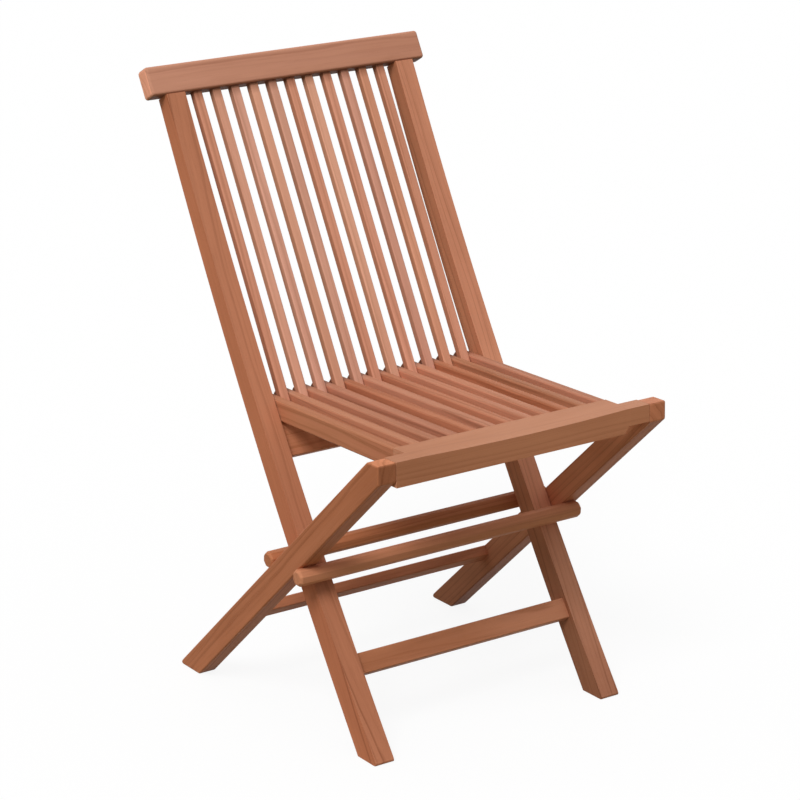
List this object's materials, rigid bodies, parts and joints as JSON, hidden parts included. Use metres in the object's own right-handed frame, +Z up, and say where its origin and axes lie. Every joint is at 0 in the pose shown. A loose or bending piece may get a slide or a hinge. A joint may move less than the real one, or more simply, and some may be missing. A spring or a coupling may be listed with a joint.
{
  "type": "folding chair",
  "caption": "Folding slatted wooden chair: bowed back frame, crossing rear legs and a slatted seat that slides up between the back slats as it folds flat.",
  "frame": {"origin": "on the floor, under the middle of the chair", "axes": "+Z up, the seat's front faces -Y, +X to the right seen from the front looking along +Y"},
  "size_m": [0.497, 0.6061, 0.8757],
  "materials": {
    "frame_wood": "fine sanded teak, lightly oiled",
    "rail_wood": "fine sanded teak, lightly oiled",
    "slat_wood": "fine sanded teak, lightly oiled",
    "dowel_wood": "plain turned hardwood",
    "pin_steel": "brushed"
  },
  "bodies": {
    "back_frame": {"stile_left": "frame_wood", "stile_right": "frame_wood", "top_rail": "rail_wood", "back_slat_01": "slat_wood", "back_slat_02": "slat_wood", "back_slat_03": "slat_wood", "back_slat_04": "slat_wood", "back_slat_05": "slat_wood", "back_slat_06": "slat_wood", "back_slat_07": "slat_wood", "back_slat_08": "slat_wood", "back_slat_09": "slat_wood", "back_slat_10": "slat_wood", "back_slat_11": "slat_wood", "lower_back_rail": "rail_wood", "front_foot_stretcher": "frame_wood", "pivot_pin_left": "pin_steel", "pivot_pin_right": "pin_steel"},
    "leg_frame": {"rear_leg_left": "frame_wood", "rear_leg_right": "frame_wood", "rear_leg_stretcher": "frame_wood", "cross_rod_front": "frame_wood", "cross_rod_rear": "frame_wood", "rod_dowels": "dowel_wood"},
    "seat": {"seat_front_rail": "rail_wood", "seat_slat_01": "slat_wood", "seat_slat_02": "slat_wood", "seat_slat_03": "slat_wood", "seat_slat_04": "slat_wood", "seat_slat_05": "slat_wood", "seat_slat_06": "slat_wood", "seat_slat_07": "slat_wood", "seat_slat_08": "slat_wood", "seat_slat_09": "slat_wood", "seat_slat_10": "slat_wood", "seat_slat_11": "slat_wood", "seat_slat_12": "slat_wood", "seat_rear_rod": "frame_wood", "seat_hinge_dowel_left": "dowel_wood", "seat_hinge_dowel_right": "dowel_wood"}
  },
  "joints": [
    {"name": "leg_fold", "type": "hinge", "parent": "back_frame", "child": "leg_frame", "pos_m": [0, -0.06849, 0.237], "axis": [-1, 0, 0], "range_deg": [0, 72]},
    {"name": "seat_fold", "type": "hinge", "parent": "leg_frame", "child": "seat", "pos_m": [0, -0.28517, 0.43443], "axis": [1, 0, 0], "range_deg": [0, 124.5]}
  ],
  "couplings": [
    {"joint": "seat_fold", "follows": "leg_fold", "ratio": 1.725}
  ]
}
